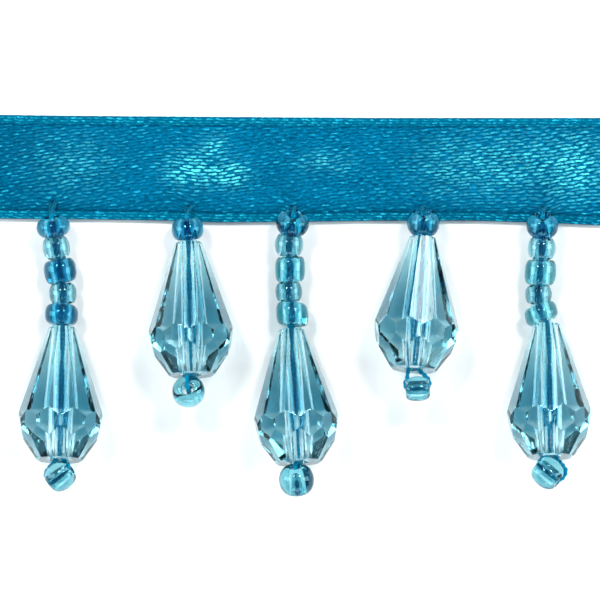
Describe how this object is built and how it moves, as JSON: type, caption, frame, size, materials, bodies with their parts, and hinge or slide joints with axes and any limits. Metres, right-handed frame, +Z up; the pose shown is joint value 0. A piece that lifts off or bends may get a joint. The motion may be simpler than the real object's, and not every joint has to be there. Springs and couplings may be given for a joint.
{
  "type": "beaded fringe trim",
  "caption": "Cut length of satin ribbon edged with hanging drops of glass seed beads and faceted teardrops, sewn on with a doubled thread.",
  "frame": {"origin": "on the resting surface, under the middle of the trim's outline", "axes": "+X along the ribbon, -Y the way the drops point, +Z up out of the ribbon's face"},
  "size_m": [0.059, 0.0366, 0.008],
  "materials": {
    "satin": "satin weave",
    "thread": "twisted thread",
    "teardrop": "clear faceted acrylic",
    "seed_deep": "clear glass",
    "seed_mid": "clear glass",
    "seed_light": "clear glass",
    "seed_clear": "clear glass",
    "stop_bead": "clear glass"
  },
  "bodies": {
    "root": {"ribbon": "satin", "thread_1": "thread", "teardrop_1": "teardrop", "stop_1": "stop_bead", "seed_1_1": "seed_deep", "seed_1_2": "seed_clear", "seed_1_3": "seed_deep", "seed_1_4": "seed_clear", "seed_1_5": "seed_deep", "thread_2": "thread", "teardrop_2": "teardrop", "stop_2": "stop_bead", "seed_2_1": "seed_deep", "thread_3": "thread", "teardrop_3": "teardrop", "stop_3": "stop_bead", "seed_3_1": "seed_deep", "seed_3_2": "seed_clear", "seed_3_3": "seed_mid", "seed_3_4": "seed_clear", "seed_3_5": "seed_mid", "thread_4": "thread", "teardrop_4": "teardrop", "stop_4": "stop_bead", "seed_4_1": "seed_deep", "thread_5": "thread", "teardrop_5": "teardrop", "stop_5": "stop_bead", "seed_5_1": "seed_deep", "seed_5_2": "seed_clear", "seed_5_3": "seed_light", "seed_5_4": "seed_clear", "seed_5_5": "seed_light"}
  },
  "joints": []
}
